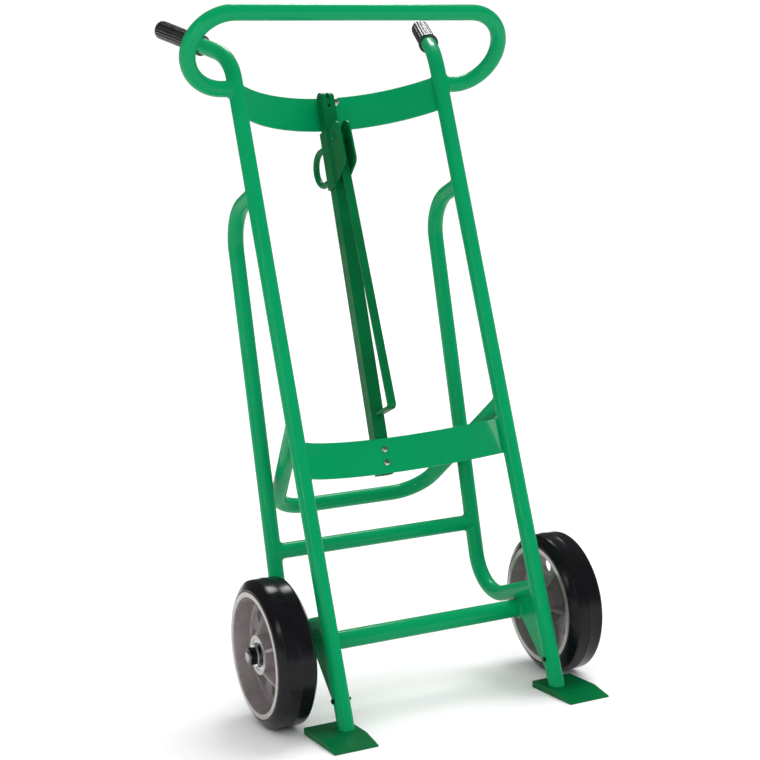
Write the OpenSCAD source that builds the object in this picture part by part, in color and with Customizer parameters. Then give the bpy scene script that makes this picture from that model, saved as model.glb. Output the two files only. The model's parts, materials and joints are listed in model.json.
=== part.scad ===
// Two-wheeled drum truck: tubular frame, loop handle, curved drum bands,
// sliding chime hook on a square bar, and two wheels with moulded rubber tyres.
// Millimetres. X is the width, Y runs from the drum side (-) to the user's side (+), Z is up.
// The truck stands on its wheels and toe plates, and the frame leans back by "lean".

/* [Frame] */
// Backward lean of the side rails, in degrees
lean = 16.4; // [14:0.1:18]
// Distance between the two side rails, centre to centre
rail_spacing = 407; // [380:1:430]
// Outside diameter of the frame tubes
tube_d = 28.6; // [25:0.1:32]
// Wall thickness of the frame tubes
tube_wall = 2.5; // [2:0.1:3]
// Length along the rail from the floor line to the start of the handgrip bend
rail_straight = 1152; // [1100:1:1200]
// Centreline radius of the small tube bends
bend_r = 76; // [70:1:84]

/* [Handgrips] */
// Angle between a rail and its handgrip, in degrees
grip_angle = 54.4; // [40:0.1:70]
// How far the handgrips splay outwards, in degrees about the rail
grip_splay = 23; // [0:1:35]
// Length of tube from the bend to the open end
grip_tube_len = 160; // [150:1:170]
// Length of a rubber grip
grip_len = 122; // [110:1:130]
// Outside diameter of a rubber grip
grip_d = 34; // [32:0.5:40]

/* [Loop handle] */
// Half the overall width of the loop, on the tube's centreline
loop_half_w = 303; // [290:1:320]
// Radius of the loop's round ends, on the tube's centreline
loop_r = 74.4; // [70:0.1:80]
// Where the loop meets the rails, measured along them
loop_at = 1131.7; // [1120:0.1:1140]
// Forward tilt of the loop from the rails, in degrees
loop_tilt = 52.1; // [40:0.1:60]

/* [Drum bands] */
// Height of the curved steel strips
band_h = 64.4; // [50:0.1:70]
// Thickness of the curved steel strips
band_t = 5; // [4:0.5:6]
// Position of the upper band along the rails
upper_band_at = 1118; // [1105:1:1120]
// Backward bow of the upper band
upper_bow = 107; // [95:1:115]
// Position of the lower band along the rails
lower_band_at = 465; // [455:1:475]
// Backward bow of the lower band
lower_bow = 96; // [90:1:96]

/* [Rear braces] */
// Where the rear braces leave the rails at the top
brace_top_at = 938; // [920:1:950]
// Where the rear braces meet the rails at the bottom
brace_bottom_at = 188; // [185:1:195]
// Distance of a rear brace behind its rail at the bottom corner
brace_depth = 217.3; // [200:0.1:225]
// Convergence of the rear braces towards the rails, in degrees
brace_converge = 7.23; // [5:0.01:9]
// Position of the cross tube along the rails
cross_tube_at = 331; // [300:1:380]

/* [Foot bar] */
// Where the foot bar's legs leave the rails
foot_bar_at = 526; // [515:1:540]
// Downward slope of the foot bar's legs from square to the rails, in degrees
foot_bar_slope = 20.6; // [18:0.1:23]
// Inward splay of each leg, in degrees
foot_bar_splay = 9.65; // [9:0.01:10.5]
// Distance from the rails to the foot bar's cross part, along the slope
foot_bar_reach = 313; // [290:1:330]

/* [Wheels] */
// Wheel diameter
wheel_d = 254; // [240:1:260]
// Distance from the middle of the truck to the middle of a wheel
wheel_x = 277.6; // [270:0.1:285]
// How far the axle lies behind the rails
axle_behind = 83.3; // [80:0.1:86]
// Width of a wheel at the rim
wheel_w = 70.6; // [64:0.1:76]
// Width of the flat tread
tread_w = 42; // [36:1:50]
// Radius of the aluminium rim under the rubber
rim_r = 107; // [100:1:110]
// Axle diameter
axle_d = 19; // [18:0.5:20]
// Number of ribs in the wheel's disc
rib_count = 5; // [4:1:8]

/* [Toe plates] */
// Width of a toe plate
toe_w = 77.7; // [70:0.1:85]
// Length of a toe plate from back to lip
toe_len = 127; // [110:1:140]
// Thickness of a toe plate
toe_t = 12; // [10:0.5:14]
// How far the back edge lies behind the rail's floor line
toe_back = 51.5; // [45:0.5:60]
// Length of the bevelled lip
toe_bevel = 44; // [35:1:50]
// Overhang of a toe plate inside its rail's centreline
toe_inside = 21.4; // [18:0.1:30]

/* [Chime hook] */
// Width of the square hook bar
bar_w = 25.4; // [22:0.1:27]
// Wall thickness of the hook bar
bar_wall = 3; // [2:0.5:4]
// Tilt of the hook bar against the rails, in degrees
bar_tilt = 3.2; // [3:0.1:3.4]
// Length of the hook slider
slider_len = 108; // [90:1:120]
// Length of the hook arm from its pivot to its foot
arm_len = 512; // [480:1:520]
// Finger ring radius, on the rod's centreline
ring_r = 31.5; // [24:0.5:34]

/* [Hidden] */
$fn = 64;
rail_x = rail_spacing / 2;
tube_r = tube_d / 2;
wheel_r = wheel_d / 2;
hole_gap = 0.2;
bend_swell = 0.1;
elbow_lap = 1;
// Distance from a tube's centreline at which a tube that butts into it starts
cope = 4;
big = 2000;

// Axle position along the rails, set by the wheels standing on the floor
axle_at = (wheel_r + axle_behind * sin(lean)) / cos(lean);
axle_tube_d = 32;
axle_tube_end = rail_x + 5;

// Front and back limits at floor level, used to centre the part on its box
toe_tip_y = toe_back - toe_len;
foot_bar_bend = 70;
corner_at = rail_straight + bend_r * tan(grip_angle / 2);
grip_reach = bend_r * tan(grip_angle / 2) + grip_tube_len + 4;
grip_end_n = grip_reach * sin(grip_angle) * cos(grip_splay);
grip_end_u = corner_at + grip_reach * cos(grip_angle);
grip_dir_y = sin(grip_angle) * cos(grip_splay) * cos(lean) + cos(grip_angle) * sin(lean);
grip_end_y = grip_end_n * cos(lean) + grip_end_u * sin(lean);
grip_end_r = grip_d / 2 - 4;
back_y = grip_end_y + grip_end_r * sqrt(1 - grip_dir_y * grip_dir_y);
y_shift = -(toe_tip_y + back_y) / 2;

// Hook bar: its own frame starts on its centreline behind the lower band's top edge
bar_base_at = 487;
bar_base_n = 112;
bar_foot = -55;
bar_pin_y = -6;
bar_pin_d = 8;
fork_slot_w = 5;
fork_slot_len = 30;
bar_top = 663;
bar_bolt_at = [476.5, 452];

// Hook slider, measured in the bar's frame
slider_at = 480.5;
sleeve_gap = 0.5;
sleeve_t = 3.3;
sleeve_w = bar_w + 2 * (sleeve_gap + sleeve_t);
cheek_t = 4;
cheek_out = 12.4;
pivot_y = -34.4;
pivot_up = 87.3;
pivot_d = 8;
arm_w = 16;
arm_t = 6;
arm_lean = 1.7;
foot_len = 64;
ring_rod = 12;
ring_up = 53.5;

// Bolts that hold the toe plates in the rails
toe_bolt_d = 5;
toe_bolt_at = 60;

// Wheel hub
hub_r = 34;
hub_half = wheel_w / 2 - 7;
bearing_r = 25.5;
bearing_w = 15;
bearing_gap = 0.02;
race_r = 13.5;
race_half = hub_half + 2.7;
axle_gap = 0.05;
washer_t = 3;
washer_d = 38;
axle_nut_t = 10.7;
axle_end = wheel_x + race_half + washer_t + axle_nut_t + 2.7;
left_rim_turn = -22.6;
right_rim_turn = 6.4;

green = [0.0, 0.58, 0.33];
dark_green = [0.0, 0.38, 0.2];
zinc = [0.75, 0.75, 0.74];
black = [0.08, 0.08, 0.08];

// ---- Frames of reference ----

// Floor frame: y = 0 where the rails' centrelines meet the floor
module on_floor() {
    translate([0, y_shift, 0]) children();
}

// Rail frame: z runs up along the rails, y points straight back from them
module on_rails() {
    on_floor() rotate([-lean, 0, 0]) children();
}

// Hook bar frame, inside the rail frame: z runs up along the bar's centreline
module on_bar() {
    translate([0, bar_base_n, bar_base_at]) rotate([bar_tilt, 0, 0]) children();
}

// Axle frame: z runs along the axle towards +X, origin in the middle of the truck
module on_axle() {
    on_rails() translate([0, axle_behind, axle_at]) rotate([0, 90, 0]) children();
}

module for_side(side) {
    if (side < 0) mirror([1, 0, 0]) children();
    else children();
}

module both_sides() {
    children();
    mirror([1, 0, 0]) children();
}

// ---- Tube and fastener shapes ----

// An elbow that starts along +Z at the origin and turns towards +X.
// It is swollen by a hair, so that the straight tubes end inside it.
module elbow(d, r, angle) {
    translate([r, 0, 0]) rotate([90, 0, 180])
        rotate_extrude(angle = angle) translate([r, 0]) circle(d = d + bend_swell);
}

// Places what follows an elbow, from just inside its end
module after_elbow(r, angle) {
    translate([r * (1 - cos(angle)), 0, r * sin(angle)]) rotate([0, angle, 0]) children();
}

// A straight tube that reaches into the elbows at the ends named by "before" and "after"
module straight(d, length, before = 0, after = 0) {
    translate([0, 0, -before * elbow_lap]) cylinder(d = d, h = length + (before + after) * elbow_lap);
}

// ---- Side rails with their handgrips ----

module rail_path(d, extra) {
    straight(d, rail_straight, after = 1);
    translate([0, 0, rail_straight]) rotate([0, 0, 90 - grip_splay]) {
        elbow(d, bend_r, grip_angle);
        after_elbow(bend_r, grip_angle) straight(d, grip_tube_len + extra, before = 1);
    }
}

module grip_place() {
    translate([rail_x, 0, rail_straight]) rotate([0, 0, 90 - grip_splay])
        after_elbow(bend_r, grip_angle) children();
}

module toe_bolt_place() {
    translate([rail_x + tube_r, 0, toe_bolt_at]) rotate([0, -90, 0]) children();
}

module rail(side) {
    color(green) for_side(side) difference() {
        on_rails() difference() {
            translate([rail_x, 0, 0]) rail_path(tube_d, 0);
            translate([rail_x, 0, -1]) cylinder(d = tube_d - 2 * tube_wall, h = 2);
            translate([rail_x, 0, 0]) rail_path(tube_d - 2 * tube_wall, 1);
            toe_bolt_place() translate([0, 0, -10]) cylinder(d = toe_bolt_d + 2 * hole_gap, h = tube_d + 20);
        }
        on_floor() translate([0, -200, -200]) cube([rail_x + 200, 400, 200 + toe_t]);
    }
}

// Rubber sleeve with a collar at the inner end and a closed, rounded outer end
module grip(side) {
    collar_d = grip_d + 4;
    wall_end = grip_len - 4;
    color(black) for_side(side) on_rails() grip_place() translate([0, 0, grip_tube_len - wall_end])
        rotate_extrude() polygon([
            [tube_r, 0], [collar_d / 2 - 1, 0], [collar_d / 2, 1.5], [collar_d / 2, 5], [grip_d / 2, 7],
            [grip_d / 2, wall_end], [grip_d / 2 - 1.2, grip_len - 1.2], [grip_end_r, grip_len],
            [0, grip_len], [0, wall_end], [tube_r, wall_end]]);
}

// ---- Loop handle ----

// Two round ends, the long top run and a short stub into each rail
module loop_path(d, start) {
    corner_x = loop_half_w - loop_r;
    both_sides() {
        translate([corner_x, 0, loop_r]) rotate([90, 0, 0]) rotate([0, 0, -90])
            rotate_extrude(angle = 180) translate([loop_r, 0]) circle(d = d + bend_swell);
        translate([start, 0, 0]) rotate([0, 90, 0]) cylinder(d = d, h = corner_x + elbow_lap - start);
    }
    translate([-corner_x - elbow_lap, 0, 2 * loop_r]) rotate([0, 90, 0])
        cylinder(d = d, h = 2 * (corner_x + elbow_lap));
}

module loop_handle() {
    color(green) on_rails() difference() {
        translate([0, 0, loop_at]) rotate([loop_tilt, 0, 0]) difference() {
            loop_path(tube_d, rail_x + cope);
            loop_path(tube_d - 2 * tube_wall, rail_x);
        }
        both_sides() translate([rail_x, 0, 0]) rail_path(tube_d, 0);
    }
}

// ---- Drum bands ----

function band_radius(bow) = (rail_x * rail_x + bow * bow) / (2 * bow);

module band(at, bow) {
    r = band_radius(bow);
    half_angle = asin(rail_x / r);
    on_rails() difference() {
        translate([0, bow - r, at - band_h / 2]) rotate([0, 0, 90 - half_angle])
            rotate_extrude(angle = 2 * half_angle) translate([r - band_t / 2, 0]) square([band_t, band_h]);
        both_sides() translate([rail_x, 0, 0]) rail_path(tube_d, 0);
        both_sides() translate([rail_x - 2, -tube_d, at - band_h]) cube([tube_d, tube_d * 2, 2 * band_h]);
    }
}

module upper_band() {
    color(green) band(upper_band_at, upper_bow);
}

module lower_band() {
    color(green) difference() {
        band(lower_band_at, lower_bow);
        on_rails() bar_bolt_holes();
    }
}

// ---- Rear braces, cross tube and foot bar ----

// Both corners of a brace turn from a leg square to the rail into the long run
module brace_path(d, extra) {
    run = (brace_top_at - brace_bottom_at) / cos(brace_converge);
    top_depth = brace_depth - run * sin(brace_converge);
    low_turn = 90 + brace_converge;
    high_turn = 90 - brace_converge;
    low_t = bend_r * tan(low_turn / 2);
    high_t = bend_r * tan(high_turn / 2);
    translate([0, 0, brace_bottom_at]) rotate([-90, 0, 0]) rotate([0, 0, -90]) {
        translate([0, 0, cope - extra]) straight(d, brace_depth - low_t - cope + extra, after = 1);
        translate([0, 0, brace_depth - low_t]) {
            elbow(d, bend_r, low_turn);
            after_elbow(bend_r, low_turn) {
                straight(d, run - low_t - high_t, before = 1, after = 1);
                translate([0, 0, run - low_t - high_t]) {
                    elbow(d, bend_r, high_turn);
                    after_elbow(bend_r, high_turn) straight(d, top_depth - high_t - cope + extra, before = 1);
                }
            }
        }
    }
}

module brace(side) {
    color(green) for_side(side) on_rails() difference() {
        translate([rail_x, 0, 0]) brace_path(tube_d, 0);
        translate([rail_x, 0, 0]) brace_path(tube_d - 2 * tube_wall, cope);
        translate([rail_x, 0, 0]) rail_path(tube_d, 0);
    }
}

// Distance of the long run of a brace behind the rails at height u
function brace_n(u) = brace_depth - (u - brace_bottom_at) * tan(brace_converge);

module cross_tube() {
    half = rail_x - cope;
    color(green) on_rails() difference() {
        translate([-half, brace_n(cross_tube_at), cross_tube_at]) rotate([0, 90, 0]) difference() {
            cylinder(d = tube_d, h = 2 * half);
            translate([0, 0, -1]) cylinder(d = tube_d - 2 * tube_wall, h = 2 * half + 2);
        }
        both_sides() translate([rail_x, 0, 0]) brace_path(tube_d, 0);
    }
}

// Half of the foot bar in its sloping plane: x is the truck's width, z runs back along the slope
module foot_bar_half(d, extra) {
    turn = 90 - foot_bar_splay;
    bend_t = foot_bar_bend * tan(turn / 2);
    leg_len = foot_bar_reach / cos(foot_bar_splay);
    corner_x = rail_x - foot_bar_reach * tan(foot_bar_splay);
    translate([rail_x, 0, 0]) rotate([0, 0, 180]) rotate([0, foot_bar_splay, 0]) {
        translate([0, 0, cope - extra]) straight(d, leg_len - bend_t - cope + extra, after = 1);
        translate([0, 0, leg_len - bend_t]) {
            elbow(d, foot_bar_bend, turn);
            after_elbow(foot_bar_bend, turn) straight(d, corner_x - bend_t + 0.5, before = 1);
        }
    }
}

module foot_bar() {
    color(green) on_rails() difference() {
        translate([0, 0, foot_bar_at]) rotate([-90 - foot_bar_slope, 0, 0]) difference() {
            both_sides() foot_bar_half(tube_d, 0);
            both_sides() foot_bar_half(tube_d - 2 * tube_wall, cope);
        }
        both_sides() translate([rail_x, 0, 0]) rail_path(tube_d, 0);
    }
}

// ---- Axle and its carrier ----

module axle_tube() {
    color(green) on_axle() difference() {
        translate([0, 0, -axle_tube_end]) cylinder(d = axle_tube_d, h = 2 * axle_tube_end);
        translate([0, 0, -axle_tube_end - 1]) cylinder(d = axle_d + 0.6, h = 2 * axle_tube_end + 2);
    }
}

// Tapered plate that ties the axle tube and the brace's leg down to the rail's foot
module gusset(side) {
    plate_t = 6;
    low = 23;
    rear = axle_behind + 8;
    color(green) for_side(side) on_rails() difference() {
        translate([rail_x - plate_t / 2, 0, 0]) rotate([90, 0, 90]) linear_extrude(plate_t) polygon([
            [0, low], [0, brace_bottom_at], [rear, brace_bottom_at], [rear, axle_at],
            [axle_behind - 9, axle_at - axle_tube_d / 2], [tube_r, low]]);
        translate([rail_x, 0, 0]) rail_path(tube_d, 0);
        translate([rail_x, 0, 0]) brace_path(tube_d, 0);
        translate([rail_x - 20, axle_behind, axle_at]) rotate([0, 90, 0]) cylinder(d = axle_tube_d, h = 40);
    }
}

module axle() {
    color(zinc) on_axle() translate([0, 0, -axle_end]) cylinder(d = axle_d, h = 2 * axle_end);
}

// Sleeves that hold each wheel off the axle tube
module axle_spacers() {
    spacer_end = wheel_x - race_half - washer_t;
    color(zinc) on_axle() both_ends() translate([0, 0, axle_tube_end]) difference() {
        cylinder(d = 27, h = spacer_end - axle_tube_end);
        translate([0, 0, -1]) cylinder(d = axle_d + 2 * hole_gap, h = 100);
    }
}

// Copies to both ends of the axle
module both_ends() {
    children();
    mirror([0, 0, 1]) children();
}

module axle_washers() {
    color(zinc) on_axle() both_ends() for (z = [wheel_x - race_half - washer_t, wheel_x + race_half + 0.4])
        translate([0, 0, z]) difference() {
            cylinder(d = washer_d, h = washer_t - 0.4);
            translate([0, 0, -1]) cylinder(d = axle_d + 0.4, h = washer_t + 2);
        }
}

module axle_nuts() {
    nut_across = 28.5;
    color(black) on_axle() both_ends() translate([0, 0, wheel_x + race_half + washer_t]) difference() {
        intersection() {
            cylinder(d = nut_across / cos(30), h = axle_nut_t, $fn = 6);
            cylinder(d1 = nut_across / cos(30) + 12, d2 = nut_across - 1, h = axle_nut_t + 2);
        }
        translate([0, 0, -1]) cylinder(d = axle_d, h = 20);
    }
}

// ---- Wheels: bearings, cast rim and bonded tyre ----

module wheel_place(side) {
    for_side(side) on_axle() translate([0, 0, wheel_x]) children();
}

module tyre(side) {
    half = wheel_w / 2;
    color(black) wheel_place(side) rotate_extrude($fn = 128) polygon([
        [rim_r, -half], [rim_r + 4, -half], [wheel_r - 10, -half + 5], [wheel_r - 2, -tread_w / 2 - 3],
        [wheel_r, -tread_w / 2], [wheel_r, tread_w / 2],
        [wheel_r - 2, tread_w / 2 + 3], [wheel_r - 10, half - 5], [rim_r + 4, half], [rim_r, half]]);
}

// Rib that falls from the boss to the web
module rim_rib() {
    translate([0, 4, 0]) rotate([90, 0, 0]) linear_extrude(8) polygon([
        [hub_r - 3, 0], [rim_r - 26, 0], [rim_r - 26, 4.5], [hub_r + 5, 27], [hub_r - 3, 28]]);
}

// Disc wheel with a boss that holds the bearings, ribs on both faces and round holes between them
module rim(side) {
    half = wheel_w / 2;
    web = 3.5;
    bore_r = bearing_r - 5;
    turn = side < 0 ? left_rim_turn : right_rim_turn;
    color([0.62, 0.6, 0.58]) wheel_place(side) rotate([0, 0, turn]) difference() {
        union() {
            rotate_extrude($fn = 128) polygon([
                [bore_r, -hub_half], [hub_r, -hub_half], [hub_r + 3, -web],
                [rim_r - 14, -web], [rim_r - 9, -half + 3], [rim_r - 8, -half], [rim_r, -half],
                [rim_r, half], [rim_r - 8, half], [rim_r - 9, half - 3], [rim_r - 14, web],
                [hub_r + 3, web], [hub_r, hub_half], [bore_r, hub_half]]);
            for (i = [0 : rib_count - 1]) rotate([0, 0, 360 / rib_count * i]) {
                rim_rib();
                mirror([0, 0, 1]) rim_rib();
            }
        }
        both_ends() translate([0, 0, hub_half - 1 - bearing_w]) cylinder(r = bearing_r, h = bearing_w + 2);
        for (i = [0 : rib_count - 1]) rotate([0, 0, 360 / rib_count * (i + 0.5)]) {
            translate([rim_r - 40, 0, -20]) cylinder(d = 26, h = 40);
        }
    }
}

// Two ball bearings, each with its shield set in a little and an inner race that stands out to the washers
module bearings(side) {
    face = hub_half - 1;
    color(black) wheel_place(side) both_ends() difference() {
        union() {
            translate([0, 0, face - bearing_w]) cylinder(r = bearing_r - bearing_gap, h = bearing_w);
            translate([0, 0, face - bearing_w]) cylinder(r = race_r, h = race_half - face + bearing_w);
        }
        translate([0, 0, face - bearing_w - 1]) cylinder(r = axle_d / 2 + axle_gap, h = bearing_w + 10);
        translate([0, 0, face - 1]) difference() {
            cylinder(r = bearing_r - 4, h = 2);
            translate([0, 0, -1]) cylinder(r = race_r, h = 4);
        }
    }
}

// ---- Toe plates ----

// Flat plate with a bevelled lip, and a round shank that fits up inside the rail
module toe(side) {
    color(dark_green) for_side(side) difference() {
        union() {
            on_floor() translate([rail_x - toe_inside, 0, 0]) rotate([90, 0, 90]) linear_extrude(toe_w) polygon([
                [toe_back, 0], [toe_back, toe_t], [toe_tip_y + toe_bevel, toe_t], [toe_tip_y, 2.5], [toe_tip_y, 0]]);
            on_rails() translate([rail_x, 0, 6]) cylinder(d = tube_d - 2 * tube_wall - 0.3, h = 76);
        }
        on_rails() toe_bolt_place() translate([0, 0, -10]) cylinder(d = toe_bolt_d + 2 * hole_gap, h = tube_d + 20);
    }
}

module toe_bolts() {
    head_t = 3.2;
    color(black) for (x = [-rail_x, rail_x]) on_rails() translate([x - tube_r, 0, toe_bolt_at]) rotate([0, 90, 0]) {
        translate([0, 0, -head_t]) cylinder(d = 8 / cos(30), h = head_t, $fn = 6);
        translate([0, 0, -head_t / 2]) cylinder(d = toe_bolt_d, h = tube_d + head_t / 2 + 3);
    }
}

// ---- Hook bar ----

module bar_bolt_holes() {
    for (u = bar_bolt_at) translate([0, 0, u]) rotate([-90, 0, 0]) cylinder(d = 6 + 2 * hole_gap, h = 160);
}

module bar_pin_place() {
    on_bar() translate([0, bar_pin_y, bar_top - 19]) rotate([0, 90, 0]) children();
}

// Square tube with a solid forked top whose two ears are rounded
module hook_bar() {
    inner = bar_w - 2 * bar_wall;
    ear_r = bar_w / 2;
    plug_len = 60;
    color(dark_green) on_rails() difference() {
        on_bar() difference() {
            union() {
                translate([-bar_w / 2, -bar_w / 2, bar_foot]) cube([bar_w, bar_w, bar_top - ear_r - bar_foot]);
                translate([-bar_w / 2, 0, bar_top - ear_r]) rotate([0, 90, 0]) cylinder(r = ear_r, h = bar_w);
            }
            translate([-inner / 2, -inner / 2, bar_foot - 1]) cube([inner, inner, bar_top - plug_len - bar_foot]);
            translate([-fork_slot_w / 2, -bar_w, bar_top - fork_slot_len]) cube([fork_slot_w, 2 * bar_w, fork_slot_len + 1]);
        }
        bar_pin_place() translate([0, 0, -bar_w]) cylinder(d = bar_pin_d + 2 * hole_gap, h = 2 * bar_w);
        bar_bolt_holes();
    }
}

// Lug welded to the front of the upper band; it stands in the bar's fork and the pin goes through both
module hook_bar_lug() {
    outer_r = band_radius(upper_bow) - band_t / 2;
    lug_t = fork_slot_w - 0.6;
    tip_r = bar_w / 2 + bar_pin_y;
    color(dark_green) on_rails() difference() {
        intersection() {
            hull() {
                bar_pin_place() translate([0, 0, -lug_t / 2]) cylinder(r = tip_r, h = lug_t);
                on_bar() translate([-lug_t / 2, 10, bar_top - 28]) cube([lug_t, 30, 20]);
            }
            translate([0, upper_bow - band_radius(upper_bow), 0]) cylinder(r = outer_r, h = big, $fn = 128);
        }
        bar_pin_place() translate([0, 0, -bar_w]) cylinder(d = bar_pin_d + 2 * hole_gap, h = 2 * bar_w);
    }
}

// Bolts with domed heads on the band's front face, and nuts behind the bar
module hook_bar_bolts() {
    head_at = lower_bow - band_t / 2 - 0.1;
    nut_at = bar_base_n + bar_w / 2 + 2.7;
    color(zinc) on_rails() for (u = bar_bolt_at) translate([0, 0, u]) rotate([-90, 0, 0]) {
        translate([0, 0, head_at - 3]) cylinder(d1 = 6, d2 = 10.5, h = 3);
        translate([0, 0, head_at - 1]) cylinder(d = 6, h = nut_at + 8 - head_at);
        translate([0, 0, nut_at]) cylinder(d = 10 / cos(30), h = 5, $fn = 6);
    }
}

// Pin across the fork, with a thin head on the left and a nut on the right
module hook_bar_pin() {
    color(zinc) on_rails() bar_pin_place() {
        translate([0, 0, -bar_w / 2 - 1.5]) cylinder(d = 11, h = 1.5);
        translate([0, 0, -bar_w / 2 - 1]) cylinder(d = bar_pin_d, h = bar_w + 11);
        translate([0, 0, bar_w / 2]) cylinder(d = 13 / cos(30), h = 6.5, $fn = 6);
    }
}

// ---- Hook slider and arm ----

module on_slider() {
    on_bar() translate([0, 0, slider_at]) children();
}

module slider_sleeve() {
    hole_w = bar_w + 2 * sleeve_gap;
    color(dark_green) on_rails() on_slider() difference() {
        translate([-sleeve_w / 2, -sleeve_w / 2, 0]) cube([sleeve_w, sleeve_w, slider_len]);
        translate([-hole_w / 2, -hole_w / 2, -1]) cube([hole_w, hole_w, slider_len + 2]);
    }
}

// Side view of a cheek: rounded top, a nose at the front and a tapered underside
module cheek_outline() {
    back = -sleeve_w / 2;
    top_r = 21;
    top_y = -44;
    top_z = slider_len - 14;
    difference() {
        union() {
            translate([top_y, top_z]) circle(r = top_r);
            polygon([[back, 6], [-36, 15], [-64, 30], [-69.5, 38], [top_y - top_r, top_z], [back, top_z]]);
            translate([top_y, top_z - 1]) square([back - top_y, slider_len - top_z + 1]);
        }
        translate([pivot_y, pivot_up]) circle(d = pivot_d + 0.04);
    }
}

module slider_cheeks() {
    color(dark_green) on_rails() on_slider() both_sides()
        translate([cheek_out - cheek_t, 0, 0]) rotate([90, 0, 90]) linear_extrude(cheek_t) cheek_outline();
}

// Bent rod with a small plate that backs it on the sleeve
module ring_handle() {
    back = sleeve_w / 2;
    plate_t = 4;
    leg = 38;
    color(dark_green) on_rails() on_slider() translate([0, back, ring_up]) {
        translate([-11, 0, -ring_r - 12]) cube([22, plate_t, 2 * ring_r + 24]);
        for (z = [-ring_r, ring_r]) translate([0, plate_t - 1, z]) rotate([-90, 0, 0])
            cylinder(d = ring_rod, h = leg + 1);
        translate([0, plate_t + leg, 0]) rotate([0, 90, 0]) rotate_extrude(angle = 180)
            translate([ring_r, 0]) circle(d = ring_rod);
    }
}

module on_pivot() {
    on_rails() on_slider() translate([0, pivot_y, pivot_up]) children();
}

module arm_pin() {
    color(zinc) on_pivot() rotate([0, 90, 0]) {
        translate([0, 0, -cheek_out - 2]) cylinder(d = pivot_d, h = 2 * cheek_out + 4);
        both_ends() translate([0, 0, cheek_out]) cylinder(d = 12, h = 3);
    }
}

// Flat bar with an eye at the pivot and a foot that turns back to the hook bar
module hook_arm() {
    eye_r = 9;
    color(dark_green) on_pivot() rotate([-bar_tilt - arm_lean, 0, 0]) difference() {
        union() {
            translate([-arm_w / 2, 0, 0]) rotate([0, 90, 0]) cylinder(r = eye_r, h = arm_w);
            translate([-arm_w / 2, -arm_t / 2, -arm_len]) cube([arm_w, arm_t, arm_len]);
            translate([-arm_w / 2, -arm_t / 2, -arm_len]) cube([arm_w, foot_len, arm_t]);
        }
        translate([-arm_w, 0, 0]) rotate([0, 90, 0]) cylinder(d = pivot_d + 0.1, h = 2 * arm_w);
    }
}

// ---- Output ----

rail(-1);  // rail_left
rail(1);  // rail_right
grip(-1);  // grip_left
grip(1);  // grip_right
loop_handle();
upper_band();
lower_band();
brace(-1);  // brace_left
brace(1);  // brace_right
cross_tube();
foot_bar();
axle_tube();
gusset(-1);  // gusset_left
gusset(1);  // gusset_right
toe(-1);  // toe_left
toe(1);  // toe_right
toe_bolts();
axle();
axle_spacers();
axle_washers();
axle_nuts();
rim(-1);  // rim_left
rim(1);  // rim_right
tyre(-1);  // tyre_left
tyre(1);  // tyre_right
bearings(-1);  // bearings_left
bearings(1);  // bearings_right
hook_bar();
hook_bar_lug();
hook_bar_bolts();
hook_bar_pin();
slider_sleeve();
slider_cheeks();
ring_handle();
arm_pin();
hook_arm();
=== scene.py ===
"""Looks of the two-wheeled drum truck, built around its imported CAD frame.

Metres, in the same frame as the CAD. Nearly every CAD node is replaced by a finer piece of the same size:
swept tubes with painted welds, cast rims, moulded tyres, fluted grips and real fasteners.
"""
import json
from math import asin, ceil, cos, hypot, pi, radians, sin, sqrt, tan

import bmesh
import bpy
from mathutils import Matrix, Vector


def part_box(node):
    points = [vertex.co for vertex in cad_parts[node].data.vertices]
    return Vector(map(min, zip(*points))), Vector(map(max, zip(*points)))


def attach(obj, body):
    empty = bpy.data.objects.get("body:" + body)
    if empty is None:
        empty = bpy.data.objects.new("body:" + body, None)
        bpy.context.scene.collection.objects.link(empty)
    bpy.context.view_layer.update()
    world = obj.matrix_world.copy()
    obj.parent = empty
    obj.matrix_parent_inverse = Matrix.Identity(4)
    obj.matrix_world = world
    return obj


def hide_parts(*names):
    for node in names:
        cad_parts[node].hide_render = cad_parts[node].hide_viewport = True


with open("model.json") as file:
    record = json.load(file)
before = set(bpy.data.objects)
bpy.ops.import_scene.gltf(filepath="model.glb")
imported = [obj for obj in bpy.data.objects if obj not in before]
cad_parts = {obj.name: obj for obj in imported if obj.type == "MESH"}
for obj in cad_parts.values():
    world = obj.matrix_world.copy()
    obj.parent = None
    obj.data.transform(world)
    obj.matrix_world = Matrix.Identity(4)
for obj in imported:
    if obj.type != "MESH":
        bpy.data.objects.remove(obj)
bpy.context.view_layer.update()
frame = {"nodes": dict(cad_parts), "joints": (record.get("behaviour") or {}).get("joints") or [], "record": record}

X_AXIS, Y_AXIS, Z_AXIS = Vector((1, 0, 0)), Vector((0, 1, 0)), Vector((0, 0, 1))
SIDES = ((-1, "left"), (1, "right"))
CORNERS = ((-1, -1), (1, -1), (1, 1), (-1, 1))

# ---- Driving dimensions, as in the CAD source ----

LEAN = radians(16.4)
RAIL_X = 0.2035
TUBE_R = 0.0143
RAIL_STRAIGHT = 1.152
BEND_R = 0.076
GRIP_ANGLE = radians(54.4)
GRIP_SPLAY = radians(23)
GRIP_TUBE_LEN = 0.160
GRIP_LEN = 0.122
GRIP_R = 0.017
LOOP_HALF_W = 0.303
LOOP_R = 0.0744
LOOP_AT = 1.1317
LOOP_TILT = radians(52.1)
BAND_H = 0.0644
BAND_T = 0.005
UPPER_BAND_AT = 1.118
UPPER_BOW = 0.107
LOWER_BAND_AT = 0.465
LOWER_BOW = 0.096
BAND_FOLD_X = 0.160
BAND_REACH = RAIL_X - TUBE_R * 0.55
UPPER_FOLD_X = BAND_REACH - 0.002
BRACE_TOP_AT = 0.938
BRACE_BOTTOM_AT = 0.188
BRACE_DEPTH = 0.2173
BRACE_CONVERGE = radians(7.23)
CROSS_TUBE_AT = 0.331
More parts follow.
